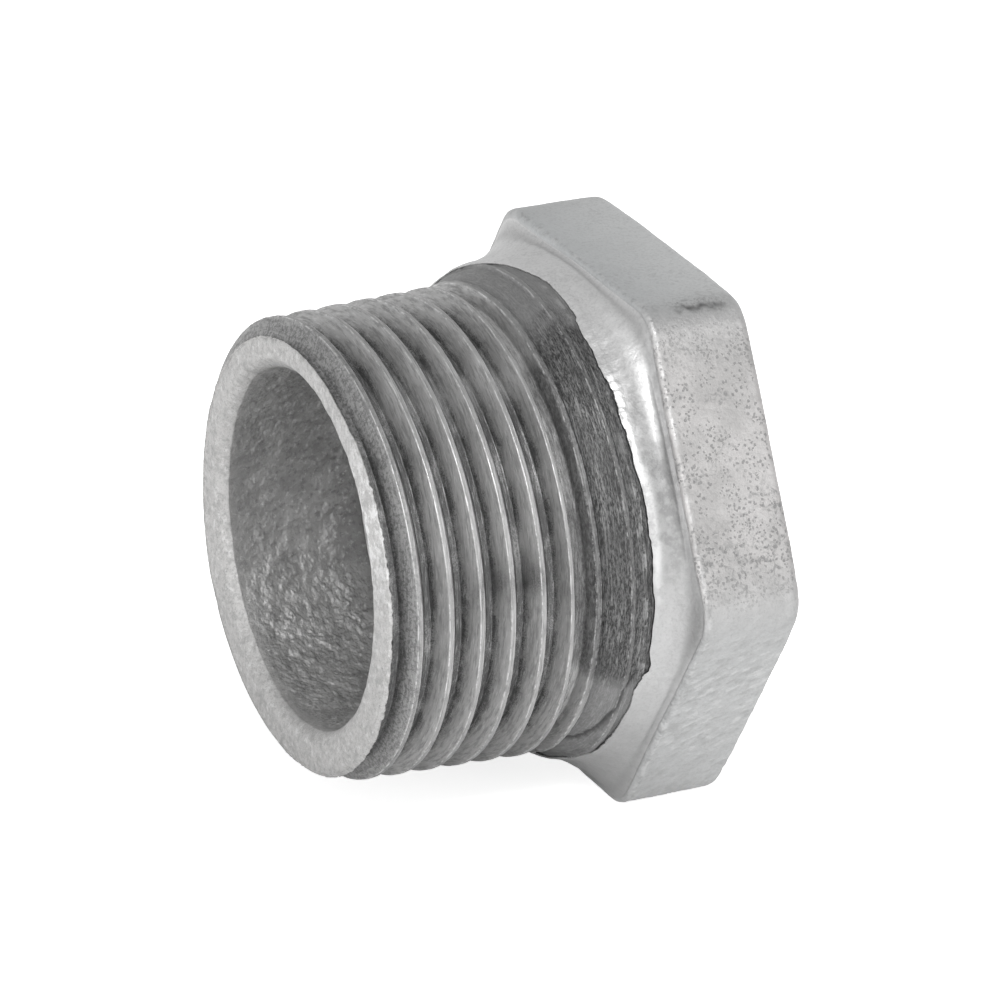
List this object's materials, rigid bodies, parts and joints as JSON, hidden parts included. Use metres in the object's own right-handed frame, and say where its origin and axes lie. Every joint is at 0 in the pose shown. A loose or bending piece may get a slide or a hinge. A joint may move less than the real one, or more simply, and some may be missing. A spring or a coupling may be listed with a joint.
{
  "type": "hexagon reducing bushing",
  "caption": "Galvanised malleable-iron hexagon reducing bushing: male taper pipe thread on the spigot, female parallel pipe thread in the hexagon end, cored bore through.",
  "frame": {"origin": "centre of the hexagon's end face, on the flow axis", "axes": "+X along the flow axis from the hexagon end face to the male thread's nose, +Z square to a wrench flat, so the bushing lies on a flat"},
  "size_m": [0.0228, 0.034, 0.03],
  "materials": {
    "bare_iron": "machined thread, dark grey, fine tool lines",
    "zinc_coat": "hot-dip galvanised, dull to satin, pitted",
    "zinc_cast_bore": "hot-dip galvanised over an as-cast surface, rough and dull"
  },
  "bodies": {
    "root": {"bushing_casting": "bare_iron", "zinc_coat_head": "zinc_coat", "zinc_coat_bore": "zinc_cast_bore"}
  },
  "joints": []
}
